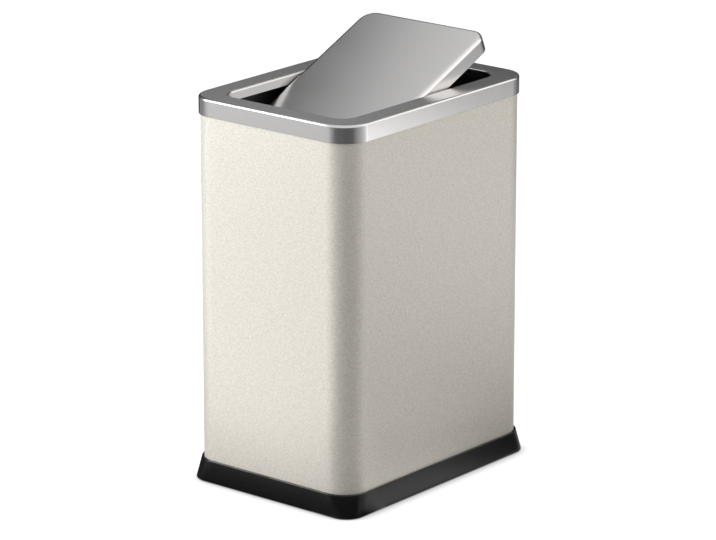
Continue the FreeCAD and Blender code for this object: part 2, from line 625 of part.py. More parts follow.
# Weight screws: one turned screw on the bar's axis, and its mirror image
def make_weight_screws():
    axis = "placement(vector(0;0;-weight_drop); rotation(vector(0;0;1); 0))"
    screw = make_body("weight_screw", f"{LID_PLACE} * {axis}", subpart=False)
    section = make_sketch(screw, "XY_Plane")
    face = f"({WEIGHT_END} + hanger_sheet)"
    crown = f"({face} + weight_screw_rise)"
    tip = f"({WEIGHT_END} - weight_screw_depth)"
    polygon(section, ((tip, "0"), (crown, "0"), (crown, "weight_screw_head/4"),
                      (f"{face} + weight_screw_rise/2", "weight_screw_head/2"),
                      (face, "weight_screw_head/2"),
                      (face, "weight_screw/2"), (tip, "weight_screw/2")))
    revolve(screw, section, "H_Axis")
    image = doc.addObject("Part::Mirroring", "weight_screw_across")
    image.Source = screw
    image.Normal = FreeCAD.Vector(1, 0, 0)
    make_group("weight_screws", [screw, image])


def write_parts():
    """Stop on any failed object or bad solid, then write one file per sub-part."""
    doc.recompute()
    for item in doc.Objects:
        if {"Invalid", "Error"} & set(item.State):
            raise RuntimeError(f"{item.Name} failed: {item.State}")
    for piece in SUBPARTS:
        if piece.Shape.isNull() or not piece.Shape.isValid() or not piece.Shape.Solids:
            raise RuntimeError(f"{piece.Label} has no sound solid")
    os.makedirs("parts", exist_ok=True)
    for piece in SUBPARTS:
        piece.Shape.exportStep(f"parts/{piece.Label}.step")
        box = piece.Shape.BoundBox
        print(f"{piece.Label}: {len(piece.Shape.Solids)} solid(s), {piece.Shape.Volume / 1000:.2f} cm3,"
              f" z {box.ZMin:.2f} to {box.ZMax:.2f}")


make_body_shell()
make_base_tray()
for end_name, end in (("front", "-"), ("back", "")):
    for side_name, side in (("left", "-"), ("right", "")):
        make_foot(f"foot_{end_name}_{side_name}", side, end)
make_base_screws()
make_inner_bucket()
make_top_frame()
make_lid_panel()
make_counterweight()
for side_name, pivot_place, lid_place in (
        ("left", LEFT_PIVOT, f"{LID_PLACE} * {LEFT_TURN}"), ("right", RIGHT_PIVOT, LID_PLACE)):
    make_pivot_plate(f"pivot_plate_{side_name}", pivot_place)
    make_pivot_bush(f"pivot_bush_{side_name}", pivot_place)
    make_pivot_pin(f"pivot_pin_{side_name}", lid_place)
    make_pin_clip(f"pin_clip_{side_name}", lid_place)
    make_hanger(f"weight_hanger_{side_name}", lid_place)
make_weight_screws()
write_parts()
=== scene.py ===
# %% [markdown]
# A flip-lid bin, dressed for its portrait.
#
# The shapes come from a CAD assembly that is already packed: a coated steel casing on a
# black base, a pressed steel frame round the mouth, and a lid that swings on two pins.
# This lesson loads that assembly, sets up the camera and a small photo studio, gives
# every piece a finish made of shader nodes, and adds the fine details that a factory
# leaves behind. Nothing here moves a CAD piece: the looks are built round it.

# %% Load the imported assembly
import json
import math

import bmesh
import bpy
from mathutils import Matrix, Vector


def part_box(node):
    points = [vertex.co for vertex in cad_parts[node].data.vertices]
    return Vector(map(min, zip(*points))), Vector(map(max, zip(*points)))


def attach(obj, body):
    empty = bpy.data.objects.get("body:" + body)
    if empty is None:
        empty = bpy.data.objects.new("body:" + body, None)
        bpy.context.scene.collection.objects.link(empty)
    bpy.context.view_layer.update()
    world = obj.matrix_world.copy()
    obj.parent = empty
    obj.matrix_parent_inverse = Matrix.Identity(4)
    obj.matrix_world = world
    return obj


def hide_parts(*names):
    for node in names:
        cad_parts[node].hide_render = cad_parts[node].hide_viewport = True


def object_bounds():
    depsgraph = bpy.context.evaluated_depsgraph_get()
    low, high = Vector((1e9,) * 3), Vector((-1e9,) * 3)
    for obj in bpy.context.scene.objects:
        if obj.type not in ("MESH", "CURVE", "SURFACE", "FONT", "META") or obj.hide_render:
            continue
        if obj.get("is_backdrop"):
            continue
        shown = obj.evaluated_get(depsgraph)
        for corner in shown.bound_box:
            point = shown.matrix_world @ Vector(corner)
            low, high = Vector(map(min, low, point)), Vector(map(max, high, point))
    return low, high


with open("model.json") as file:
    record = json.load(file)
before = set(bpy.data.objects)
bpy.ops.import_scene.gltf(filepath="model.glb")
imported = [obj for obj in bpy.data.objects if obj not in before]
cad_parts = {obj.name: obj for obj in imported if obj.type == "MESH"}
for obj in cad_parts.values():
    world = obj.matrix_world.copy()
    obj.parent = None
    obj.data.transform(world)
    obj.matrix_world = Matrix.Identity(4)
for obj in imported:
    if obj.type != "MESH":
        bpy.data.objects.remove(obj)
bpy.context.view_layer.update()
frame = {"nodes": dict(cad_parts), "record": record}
scene = bpy.context.scene

# %% [markdown]
# The camera stands where the photographer stood. A long lens from more than three metres
# keeps the upright edges almost parallel, which is how the product looks in its picture.
# The angle and the distance came from matching the straight edges of the bin: about 39
# degrees round from the front and 17 degrees above the horizon. A small lens shift puts
# the bin in its place in the frame without tilting the uprights.

# %% Camera at the picture's viewpoint
VIEW_ROUND, VIEW_UP = 39.485, 16.783
VIEW_DISTANCE = 3.3255
VIEW_TARGET = Vector((0.0, 0.0, 0.160))
SENSOR_WIDTH, FOCAL_LENGTH = 36.0, 206.26
LENS_SHIFT = (-0.00337, 0.00855)


def heading(round_degrees, up_degrees):
    """Unit vector from the bin, counted round from the front towards +X."""
    turn, rise = math.radians(round_degrees), math.radians(up_degrees)
    return Vector((math.sin(turn) * math.cos(rise), -math.cos(turn) * math.cos(rise), math.sin(rise)))


lens = bpy.data.cameras.new("portrait_camera")
lens.sensor_width, lens.lens = SENSOR_WIDTH, FOCAL_LENGTH
lens.shift_x, lens.shift_y = LENS_SHIFT
camera = bpy.data.objects.new("portrait_camera", lens)
to_camera = heading(VIEW_ROUND, VIEW_UP)
camera.location = VIEW_TARGET + to_camera * VIEW_DISTANCE
camera.rotation_mode = "QUATERNION"
camera.rotation_quaternion = (-to_camera).to_track_quat("-Z", "Y")
scene.collection.objects.link(camera)
scene.camera = camera
scene.view_settings.view_transform = "Standard"
print("camera at", [round(c, 3) for c in camera.location])

# %% [markdown]
# Every finish below is a small web of shader nodes. Such a web could be drawn by hand in the
# shader editor, but a script can repeat it. Two helpers keep the cells short: one opens an
# empty material and hands back its tree and its main shader, the other adds a node, sets
# what it is given and wires its inputs.

# %% Helpers for node webs
def open_finish(name):
    """A new material: itself, its tree, its main shader."""
    finish = bpy.data.materials.new(name)
    finish.use_nodes = True
    return finish, finish.node_tree, finish.node_tree.nodes["Principled BSDF"]


def add_node(tree, kind, inputs=None, **settings):
    """Add a node. Inputs that are sockets are wired, the rest are set as values."""
    node = tree.nodes.new(kind)
    for name, value in settings.items():
        setattr(node, name, value)
    for name, value in (inputs or {}).items():
        if isinstance(value, bpy.types.NodeSocket):
            tree.links.new(value, node.inputs[name])
        else:
            node.inputs[name].default_value = value
    return node


print("node helpers ready")

# %% [markdown]
# The studio is a white sweep: a floor that goes on for ever and a white world behind it.
# A white background could be had by flooding everything with light, but that would bleach
# the bin as well. Instead the world answers rays that come straight from the camera, or
# from a mirror-like surface, with plain white, and lights the bin with a much gentler
# level.

# %% White world
WHITE = (1.0, 1.0, 1.0, 1.0)
ROOM_LIGHT = 0.38


def sees_background(tree):
    """One for rays from the camera, a mirror or glass, and zero for the rest."""
    path = add_node(tree, "ShaderNodeLightPath")
    mirror = add_node(tree, "ShaderNodeMath", operation="MAXIMUM")
    either = add_node(tree, "ShaderNodeMath", operation="MAXIMUM")
    tree.links.new(path.outputs["Is Glossy Ray"], mirror.inputs[0])
    tree.links.new(path.outputs["Is Transmission Ray"], mirror.inputs[1])
    tree.links.new(path.outputs["Is Camera Ray"], either.inputs[0])
    tree.links.new(mirror.outputs[0], either.inputs[1])
    return either.outputs[0]


def for_background(tree, usual, background):
    """One shader for lighting the bin, another for what is seen as the background."""
    return add_node(tree, "ShaderNodeMixShader", {
        0: sees_background(tree), 1: usual.outputs[0], 2: background.outputs[0]})


world = bpy.data.worlds.new("white_studio")
world.use_nodes = True
scene.world = world
air = world.node_tree
air.nodes.clear()
room = add_node(air, "ShaderNodeBackground", {"Color": WHITE, "Strength": ROOM_LIGHT})
white = add_node(air, "ShaderNodeBackground", {"Color": WHITE, "Strength": 1.0})
add_node(air, "ShaderNodeOutputWorld", {"Surface": for_background(air, room, white).outputs[0]})
print("world ready, room light", ROOM_LIGHT)

# %% [markdown]
# The floor works the same way. To the camera it glows almost white, and a thin grey under
# the glow still takes the bin's shadow. Real things darken the floor most where they touch
# it, and plain shadows are too soft for that here, so an ambient occlusion node looks for
# the narrow nook round the base and takes the glow away there.

# %% White floor
FLOOR_REACH = 9
FLOOR_GLOW, NOOK_GLOW = 0.90, 0.10
NOOK_REACH, NOOK_SHUT, NOOK_OPEN = 0.012, 0.15, 0.95
PAPER_GREY = (0.8, 0.8, 0.8, 1.0)
SHADOW_GREY = (0.38, 0.38, 0.38, 1.0)

corners = [(x * FLOOR_REACH, y * FLOOR_REACH, 0) for x, y in ((-1, -1), (1, -1), (1, 1), (-1, 1))]
floor_mesh = bpy.data.meshes.new("studio_floor")
floor_mesh.from_pydata(corners, [], [(0, 1, 2, 3)])
floor = bpy.data.objects.new("studio_floor", floor_mesh)
scene.collection.objects.link(floor)
floor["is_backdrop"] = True

paper, tree, _ = open_finish("white_paper")
tree.nodes.clear()
matt = add_node(tree, "ShaderNodeBsdfDiffuse", {"Color": PAPER_GREY})
nook = add_node(tree, "ShaderNodeAmbientOcclusion", {"Distance": NOOK_REACH}, samples=12)
shade = add_node(tree, "ShaderNodeMapRange", {
    "Value": nook.outputs["AO"], "From Min": NOOK_SHUT, "From Max": NOOK_OPEN,
    "To Min": NOOK_GLOW, "To Max": FLOOR_GLOW})
glow = add_node(tree, "ShaderNodeEmission", {"Color": WHITE, "Strength": shade.outputs[0]})
thin = add_node(tree, "ShaderNodeBsdfDiffuse", {"Color": SHADOW_GREY})
lit = add_node(tree, "ShaderNodeAddShader", {0: thin.outputs[0], 1: glow.outputs[0]})
add_node(tree, "ShaderNodeOutputMaterial", {"Surface": for_background(tree, matt, lit).outputs[0]})
floor_mesh.materials.append(paper)
print("floor ready,", 2 * FLOOR_REACH, "metres wide")

# %% [markdown]
# Steel shows the room it stands in, so the room decides how it looks. Photographers hang
# soft boxes where they want a bright face and grey or black cards where they want a face
# to go dark. A strong soft box stands at the front left and lights the narrow front. A
# weaker one, a little warm, stands behind on the right for the long side. A third hangs
# high over it for the crisp light along the lid's edge.

# %% Soft boxes
def soft_box(name, round_degrees, up_degrees, distance, size, power, aim=(0, 0, 0.2), tint=WHITE[:3]):
    """A flat lamp at a heading and a distance from its aim, turned to face it."""
    lamp = bpy.data.lights.new(name, "AREA")
    lamp.shape = "RECTANGLE"
    lamp.size, lamp.size_y = size
    lamp.energy = power
    lamp.color = tint
    box = bpy.data.objects.new(name, lamp)
    box.location = Vector(aim) + heading(round_degrees, up_degrees) * distance
    box.rotation_mode = "QUATERNION"
    box.rotation_quaternion = (Vector(aim) - box.location).to_track_quat("-Z", "Y")
    scene.collection.objects.link(box)
    return box


soft_box("front_box", -53, 22, 1.4, (0.75, 0.75), 16.6, aim=(-0.03, -0.10, 0.13))
soft_box("side_box", 134, 22, 1.6, (1.2, 1.0), 3.0, tint=(1.0, 0.95, 0.88))
soft_box("back_box", 125, 54, 1.5, (0.9, 0.9), 1.1)

# %% [markdown]
# The cards are only there for reflections, so they are hidden from the camera, light
# nothing and throw no shadow. A plain grey card would do for a flat mirror. Satin steel
# and a satin coat show soft changes of tone, so each card is graded: along an axis, by the
# turn round its own middle, or by two of these multiplied.

# %% Helpers for the cards
def reflection_card(name, hub, points, faces):
    """A mesh that only reflections see."""
    mesh = bpy.data.meshes.new(name)
    mesh.from_pydata([tuple(p) for p in points], [], faces)
    card = bpy.data.objects.new(name, mesh)
    card.location = hub
    scene.collection.objects.link(card)
    card.visible_camera = False
    card.visible_diffuse = False
    card.visible_shadow = False
    card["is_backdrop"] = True
    return card


def ring(turns, radius, height):
    """Points at one height, one for each turn in degrees."""
    return [heading(turn, 0) * radius + Vector((0, 0, height)) for turn in turns]


def strip(name, hub, turns, first, last):
    """A card between two rings, each given as (radius, height)."""
    count = len(turns)
    faces = [(i, i + 1, count + i + 1, count + i) for i in range(count - 1)]
    return reflection_card(name, hub, ring(turns, *first) + ring(turns, *last), faces)


def panel(name, points):
    """A card with four corners."""
    return reflection_card(name, MIDDLE, points, [(0, 1, 2, 3)])


def turn_round(tree, split):
    """Degrees round the card's hub, counted as for a heading."""
    front = add_node(tree, "ShaderNodeMath", {0: split.outputs["Y"], 1: -1.0}, operation="MULTIPLY")
    turn = add_node(tree, "ShaderNodeMath", {0: split.outputs["X"], 1: front.outputs[0]},
                    operation="ARCTAN2")
    return add_node(tree, "ShaderNodeMath", {0: turn.outputs[0]}, operation="DEGREES").outputs[0]


def level_along(tree, where, stops):
    """The level at a place on a run of (place, level) stops."""
    first, last = stops[0][0], stops[-1][0]
    run = add_node(tree, "ShaderNodeMapRange", {"Value": where, "From Min": first, "From Max": last})
    ramp = add_node(tree, "ShaderNodeValToRGB", {"Fac": run.outputs[0]})
    elements = ramp.color_ramp.elements
    while len(elements) < len(stops):
        elements.new(0.5)
    for element, (place, level) in zip(elements, stops):
        element.position = (place - first) / (last - first)
        element.color = (level, level, level, 1.0)
    return ramp.outputs[0]


def graded(card, *grades):
    """Light a card by the product of its grades: an axis or "turn", then its stops."""
    shade, tree, _ = open_finish(card.name)
    tree.nodes.clear()
    place = add_node(tree, "ShaderNodeTexCoord")
    split = add_node(tree, "ShaderNodeSeparateXYZ", {0: place.outputs["Object"]})
    level = None
    for axis, stops in grades:
        where = turn_round(tree, split) if axis == "turn" else split.outputs[axis]
        here = level_along(tree, where, stops)
        if level:
            here = add_node(tree, "ShaderNodeMath", {0: level, 1: here}, operation="MULTIPLY").outputs[0]
        level = here
    glow = add_node(tree, "ShaderNodeEmission", {"Color": WHITE, "Strength": level})
    add_node(tree, "ShaderNodeOutputMaterial", {"Surface": glow.outputs[0]})
    card.data.materials.append(shade)


CASING_CORNER, CARD_LIFT = 0.022, 0.0005
shell_low, shell_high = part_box("body_shell")
NEAR_CORNER = Vector((shell_high[0] - CASING_CORNER, shell_low[1] + CASING_CORNER, CARD_LIFT))
MIDDLE = Vector((0.0, 0.0, 0.0))
print("cards are set round", [round(c, 3) for c in NEAR_CORNER], "and the middle")

# %% [markdown]
# Four cards lie on the floor as sectors round the near corner. One is for the front face,
# one for the long side, and two for the rounded corner, which has to go dark. Seen from
# above the horizon, a low place on the bin shows the floor close by and a high place shows
# it farther off. So the inner corner card tones the casing, and the outer one the steel
# band over it.

# %% Cards on the floor
FLOOR_CARD_REACH, CORNER_SPLIT = 3.0, 0.8
FRONT_TURNS, CORNER_TURNS, SIDE_TURNS = range(-110, -29, 10), range(-30, 131, 10), range(130, 201, 10)


def sector(name, turns, inner, outer):
    """A card on the floor, between two distances from the near corner."""
    return strip(name, NEAR_CORNER, turns, (inner, 0.0), (outer, 0.0))


front_card = sector("front_card", FRONT_TURNS, 0.0, FLOOR_CARD_REACH)
graded(front_card,
       ("Y", ((-0.82, 0.95), (-0.76, 0.7), (-0.62, 0.4), (-0.45, 0.7), (-0.30, 1.4),
              (-0.14, 1.6), (-0.12, 1.2), (-0.10, 0.2), (-0.03, 0.05))),
       ("turn", ((-85, 0.55), (-62, 0.85), (-48, 1.0), (-41, 0.98), (-38, 0.85), (-33, 0.82))))

corner_card = sector("corner_card", CORNER_TURNS, CORNER_SPLIT, FLOOR_CARD_REACH)
graded(corner_card, ("turn", ((-30, 0.9), (-8, 0.32), (5, 0.08), (45, 0.065),
                              (71, 0.08), (86, 0.36), (105, 0.6), (128, 1.0))))

corner_near = sector("corner_near_card", CORNER_TURNS, 0.0, CORNER_SPLIT)
graded(corner_near, ("turn", ((-30, 1.1), (-8, 0.6), (8, 0.3), (35, 0.16),
                              (55, 0.03), (92, 0.03), (108, 0.35), (128, 1.0))))

side_card = sector("side_card", SIDE_TURNS, 0.0, FLOOR_CARD_REACH)
graded(side_card,
       ("X", ((0.02, 0.4), (0.07, 0.32), (0.12, 0.2), (0.34, 0.6), (0.60, 0.62), (0.66, 1.0))),
       ("Y", ((0.08, 1.1), (0.17, 1.2), (0.25, 0.9), (0.30, 0.8), (0.40, 1.6),
              (0.55, 1.75), (0.79, 2.8), (0.88, 2.2), (0.97, 0.72), (1.3, 0.45))))
print("floor cards:", [card.name for card in (front_card, corner_card, corner_near, side_card)])

# %% [markdown]
# The black base is lowest of all, so it shows the floor right beside it. Kick cards stand
# there, no higher than a few centimetres, and foot cards lie in front of them. Together
# they keep the base black round the corner, grey along the long side and dark again at its
# far end. The casing above hardly sees them. They could be left out, but then the base
# would show the white room and turn grey all over.

# %% Small cards beside the base
CORNER_KICK_AWAY, CORNER_KICK_TOP = 0.1, 0.045
CORNER_FOOT_INNER, CORNER_FOOT_OUTER = 0.015, 0.09
KICK_AWAY, KICK_NEAR, KICK_NEAR_TOP, KICK_FAR_TOP = 0.13, -0.045, 0.06, 0.015
FOOT_EDGE, FOOT_NEAR_INNER, FOOT_NEAR_OUTER = 0.088, -0.070, -0.036
FAR_END = 0.24

corner_kick = strip("corner_kick_card", NEAR_CORNER, range(-30, 101, 5),
                    (CORNER_KICK_AWAY, 0.0), (CORNER_KICK_AWAY, CORNER_KICK_TOP))
graded(corner_kick, ("turn", ((-30, 0.8), (-12, 0.06), (85, 0.06), (100, 0.6))))

corner_foot = strip("corner_foot_card", NEAR_CORNER, range(-34, 7, 4),
                    (CORNER_FOOT_INNER, CARD_LIFT), (CORNER_FOOT_OUTER, CARD_LIFT))
graded(corner_foot, ("turn", ((-34, 0.14), (-22, 0.10), (6, 0.10))))

side_kick = panel("side_kick_card", [
    (KICK_AWAY, KICK_NEAR, 0.0), (KICK_AWAY, FAR_END, 0.0),
    (KICK_AWAY, FAR_END, KICK_FAR_TOP), (KICK_AWAY, KICK_NEAR, KICK_NEAR_TOP)])
graded(side_kick, ("Y", ((KICK_NEAR, 0.4), (0.05, 0.4), (0.08, 0.3), (0.105, 0.2), (0.15, 0.08),
                         (FAR_END, 0.03))))

side_foot = panel("side_foot_card", [
    (FOOT_EDGE, FOOT_NEAR_INNER, 2 * CARD_LIFT), (KICK_AWAY, FOOT_NEAR_OUTER, 2 * CARD_LIFT),
    (KICK_AWAY, FAR_END, 2 * CARD_LIFT), (FOOT_EDGE, FAR_END, 2 * CARD_LIFT)])
graded(side_foot, ("Y", ((FOOT_NEAR_INNER, 0.88), (0.02, 0.78), (0.06, 0.42), (0.09, 0.2), (0.13, 0.09),
                         (FAR_END, 0.03))))
print("base cards:", [card.name for card in (corner_kick, corner_foot, side_kick, side_foot)])

# %% [markdown]
# A tall card stands in a wide arc behind the bin, because the flat top of the frame and the
# lip of the mouth look that way. A nearly black one in front of it gives the lid its dark
# far edges, and a low one darkens the foot of the arc. The last card hangs over the left
# and shades the top of the lid from grey to light.

# %% Cards behind and above
BACK_RADIUS, BACK_TOP = 0.9, 1.05
DARK_RADIUS, LOW_TOP = 0.88, 0.3
LID_CARD_LEFT, LID_CARD_RIGHT, LID_CARD_DEEP, LID_CARD_UP = -1.5, -0.42, 1.2, 1.0

back_card = strip("back_card", MIDDLE, range(160, 301, 10), (BACK_RADIUS, 0.0), (BACK_RADIUS, BACK_TOP))
graded(back_card,
       ("Z", ((0.0, 0.35), (0.15, 0.2), (0.25, 0.04), (0.47, 0.03), (0.53, 0.1),
              (0.566, 0.22), (0.614, 0.48), (0.65, 0.5), (0.70, 0.15), (BACK_TOP, 0.06))),
       ("X", ((-0.66, 1.25), (-0.60, 1.2), (-0.52, 0.85), (-0.45, 0.8))))

dark_card = strip("dark_card", MIDDLE, range(233, 264, 6), (DARK_RADIUS, 0.0), (DARK_RADIUS, BACK_TOP))
graded(dark_card, ("Z", ((0.0, 0.03), (BACK_TOP, 0.03))))

low_card = strip("low_card", MIDDLE, range(191, 234, 6), (DARK_RADIUS, 0.0), (DARK_RADIUS, LOW_TOP))
graded(low_card, ("Z", ((0.0, 0.05), (LOW_TOP, 0.03))))

lid_card = panel("lid_card", [
    (LID_CARD_LEFT, 0.0, LID_CARD_UP), (LID_CARD_RIGHT, 0.0, LID_CARD_UP),
    (LID_CARD_RIGHT, LID_CARD_DEEP, LID_CARD_UP), (LID_CARD_LEFT, LID_CARD_DEEP, LID_CARD_UP)])
graded(lid_card, ("X", ((-0.69, 0.02), (-0.62, 0.285), (-0.555, 0.86), (-0.44, 1.04))))

# %% [markdown]
# The frame and the lid are pressed from satin stainless sheet. From the picture's distance
# no brush lines show, only soft reflections. Close up, such sheet has a fine directional
# grain from its rolling, which changes the gloss a little from line to line, and faint
# patches where it has been wiped. One noise is stretched into the grain and another gives
# the patches. Both work on the gloss, because the colour of clean steel is even.

# %% Satin steel
STEEL_COLOUR = (0.60, 0.592, 0.588, 1.0)
GRAIN_STRETCH = (4200.0, 60.0, 4200.0)
SATIN_SMOOTH, SATIN_ROUGH = 0.19, 0.25


def noise(tree, where, scale, detail):
    return add_node(tree, "ShaderNodeTexNoise", {"Vector": where, "Scale": scale, "Detail": detail})


def blend_of(tree, share, first, second):
    """A mix of two numbers, with the share of the second."""
    mix = add_node(tree, "ShaderNodeMix", {0: share, 2: first, 3: second}, data_type="FLOAT")
    return mix.outputs[0]


satin_steel, tree, shader = open_finish("satin_steel")
shader.inputs["Metallic"].default_value = 1.0
shader.inputs["Base Color"].default_value = STEEL_COLOUR
place = add_node(tree, "ShaderNodeTexCoord").outputs["Object"]
along = add_node(tree, "ShaderNodeMapping", {"Vector": place, "Scale": GRAIN_STRETCH})
grain = noise(tree, along.outputs[0], 1.0, 2.0)
wiped = noise(tree, place, 22.0, 3.0)
gloss = add_node(tree, "ShaderNodeMapRange", {
    "Value": blend_of(tree, 0.55, grain.outputs[0], wiped.outputs[0]), "From Min": 0.3, "From Max": 0.7,
    "To Min": SATIN_SMOOTH, "To Max": SATIN_ROUGH})
tree.links.new(gloss.outputs[0], shader.inputs["Roughness"])
lines = add_node(tree, "ShaderNodeBump", {
    "Height": grain.outputs[0], "Strength": 0.05, "Distance": 0.00002})
tree.links.new(lines.outputs[0], shader.inputs["Normal"])
print("finish:", satin_steel.name)

# %% [markdown]
# The casing wears a cream coating with a fine pebbled grain, close to the look of a
# textured powder coat with a little pearl in it. The pearl is why the rounded corner goes
# darker than the flat faces: part of what the coating sends back is a soft reflection.
# Pebbles a millimetre or two across come from one noise, the finer tooth between them from
# another, and both are drawn out a little sideways. The same mix gives the tint and the relief: the
# colour is painted darker in the hollows and lighter on the raised pebbles, as painted shade and painted
# highlight on the grain.

# %% Cream grained coat
GRAIN_DRAWN = (0.7, 0.7, 1.0)
PEBBLE_SCALE, TOOTH_SCALE, TOOTH_SHARE = 700.0, 1500.0, 0.3
# The two creams are one coat: the darker one is painted shade for the hollows, the lighter one a painted
# highlight for the raised pebbles.
SHADED_HOLLOW_CREAM, LIT_RAISED_CREAM = (0.69, 0.655, 0.585, 1.0), (0.86, 0.82, 0.75, 1.0)
PEARL_SHARE, COAT_ROUGH, GRAIN_DEPTH = 0.35, 0.46, 0.0003

casing_coat, tree, shader = open_finish("casing_coat")
place = add_node(tree, "ShaderNodeTexCoord").outputs["Object"]
drawn = add_node(tree, "ShaderNodeMapping", {"Vector": place, "Scale": GRAIN_DRAWN})
pebble = noise(tree, drawn.outputs[0], PEBBLE_SCALE, 1.0)
tooth = noise(tree, drawn.outputs[0], TOOTH_SCALE, 1.0)
height = blend_of(tree, TOOTH_SHARE, pebble.outputs[0], tooth.outputs[0])
# Painted shade and highlight: the cream follows the height of the grain, darker where it is low.
tint = add_node(tree, "ShaderNodeValToRGB", {"Fac": height})
shaded_hollow, lit_raised = tint.color_ramp.elements
shaded_hollow.position, lit_raised.position = 0.30, 0.70
shaded_hollow.color, lit_raised.color = SHADED_HOLLOW_CREAM, LIT_RAISED_CREAM
tree.links.new(tint.outputs[0], shader.inputs["Base Color"])
shader.inputs["Metallic"].default_value = PEARL_SHARE
shader.inputs["Roughness"].default_value = COAT_ROUGH
relief = add_node(tree, "ShaderNodeBump", {"Height": height, "Strength": 0.55, "Distance": GRAIN_DEPTH})
tree.links.new(relief.outputs[0], shader.inputs["Normal"])
print("finish:", casing_coat.name)

# %% [markdown]
# The remaining finishes are moulded plastics, rubber and the small steel parts. They differ
# only in colour, gloss and grain, so one function makes all the mouldings and another all
# the small steel. A moulding has the fine spark-eroded texture of its mould and a faint
# cloudiness from its flow. Zinc plate and blackened steel are cloudy in colour and gloss.

# %% Plastics, rubber and small steel
def cloudy_colour(tree, cloud, colour, levels):
    """A colour that wanders between two levels of itself."""
    tint = add_node(tree, "ShaderNodeValToRGB", {"Fac": cloud.outputs[0]})
    for element, level in zip(tint.color_ramp.elements, levels):
        element.color = tuple(level * c for c in colour) + (1.0,)
    return tint.outputs[0]


def uneven_gloss(tree, cloud, roughness, spread):
    """A roughness that wanders to both sides of its middle."""
    gloss = add_node(tree, "ShaderNodeMapRange", {
        "Value": cloud.outputs[0], "To Min": roughness - spread, "To Max": roughness + spread})
    return gloss.outputs[0]


def moulded(name, colour, roughness, grain_scale, grain_depth):
    finish, tree, shader = open_finish(name)
    place = add_node(tree, "ShaderNodeTexCoord").outputs["Object"]
    grain = noise(tree, place, grain_scale, 3.0)
    flow = noise(tree, place, 14.0, 2.0)
    relief = add_node(tree, "ShaderNodeBump", {
        "Height": grain.outputs[0], "Strength": 0.3, "Distance": grain_depth})
    tree.links.new(cloudy_colour(tree, flow, colour, (0.85, 1.15)), shader.inputs["Base Color"])
    tree.links.new(uneven_gloss(tree, grain, roughness, 0.06), shader.inputs["Roughness"])
    tree.links.new(relief.outputs[0], shader.inputs["Normal"])
    return finish


def small_steel(name, colour, roughness):
    finish, tree, shader = open_finish(name)
    shader.inputs["Metallic"].default_value = 1.0
    place = add_node(tree, "ShaderNodeTexCoord").outputs["Object"]
    cloud = noise(tree, place, 260.0, 4.0)
    tree.links.new(cloudy_colour(tree, cloud, colour, (0.8, 1.1)), shader.inputs["Base Color"])
    tree.links.new(uneven_gloss(tree, cloud, roughness, 0.08), shader.inputs["Roughness"])
    return finish


finishes = {
    "casing_coat": casing_coat,
    "satin_steel": satin_steel,
    "base_plastic": moulded("base_plastic", (0.0052, 0.005, 0.0048), 0.25, 1500.0, 0.00003),
    # The bucket is black plastic, and its colour is set darker still as painted shade for the dim inside
    # of the bin.
    "bucket_plastic": moulded("bucket_plastic", (0.008, 0.008, 0.008), 0.5, 1300.0, 0.00006),
    "foot_rubber": moulded("foot_rubber", (0.03, 0.03, 0.03), 0.75, 900.0, 0.0001),
    "bush_plastic": moulded("bush_plastic", (0.75, 0.74, 0.7), 0.4, 1800.0, 0.00004),
    "zinc_steel": small_steel("zinc_steel", (0.6, 0.61, 0.62), 0.32),
    "weight_steel": small_steel("weight_steel", (0.12, 0.12, 0.125), 0.5),
}
print("finishes:", sorted(finishes))

# %% [markdown]
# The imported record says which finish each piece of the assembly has, under the name of its
# material slot. Reading it from there, and not from a second list here, keeps the two from
# drifting apart.

# %% Give each CAD node its finish
slot_of = {piece["node"]: piece["material_slot"] for piece in frame["record"]["subparts"]}
for name, node in frame["nodes"].items():
    for holder in node.material_slots:
        holder.material = finishes[slot_of[name]]
print("finishes given to", len(slot_of), "nodes")

# %% [markdown]
# A casing like this is rolled from one sheet and closed at the back, where the two edges
# are hooked together and pressed flat. What shows is a strip a few millimetres wide and a
# fraction of a millimetre high, with a fine line along one side. It could be painted on
# with a bump, but an outline drawn up the back gives it a real edge. It starts above the
# base and ends short of the casing's top, so the frame still lifts off over it.

# %% Lock seam down the back
SEAM_ABOVE_BASE, SEAM_BELOW_TOP = 0.0003, 0.0018
SEAM_OUTLINE = ((-0.0042, -0.0001), (-0.0036, 0.00022), (0.0026, 0.0003), (0.0030, 0.0001),
                (0.0032, 0.0001), (0.0036, 0.00025), (0.0042, -0.0001))


def add_piece(name, points, faces, body, slot, smooth=False):
    """A new visible piece that moves with a body."""
    mesh = bpy.data.meshes.new(name)
    mesh.from_pydata([tuple(p) for p in points], [], faces)
    mesh.polygons.foreach_set("use_smooth", [smooth] * len(mesh.polygons))
    mesh.materials.append(finishes[slot])
    piece = bpy.data.objects.new(name, mesh)
    scene.collection.objects.link(piece)
    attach(piece, body)
    return piece


base_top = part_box("base_tray")[1][2]
back, bottom, top = shell_high[1], base_top + SEAM_ABOVE_BASE, shell_high[2] - SEAM_BELOW_TOP
points = [(across, back + proud, level) for level in (bottom, top) for across, proud in SEAM_OUTLINE]
count = len(SEAM_OUTLINE)
faces = [(i + 1, i, count + i, count + i + 1) for i in range(count - 1)]
faces += [tuple(range(count)), tuple(range(2 * count - 1, count - 1, -1))]
faces += [(count - 1, 0, count, 2 * count - 1)]
add_piece("casing_seam", points, faces, "bin", "casing_coat")
print("seam:", round((top - bottom) * 1000), "mm long")

# %% [markdown]
# The CAD screws are plain turned shapes. Real ones have a domed head with a cross recess
# for the driver. The recess could be cut with a boolean, which often leaves a ragged mesh
# on something this small. Here each head is built from rings instead: a flat in the middle
# that takes the cross, then the dome, then the underside and the shank.

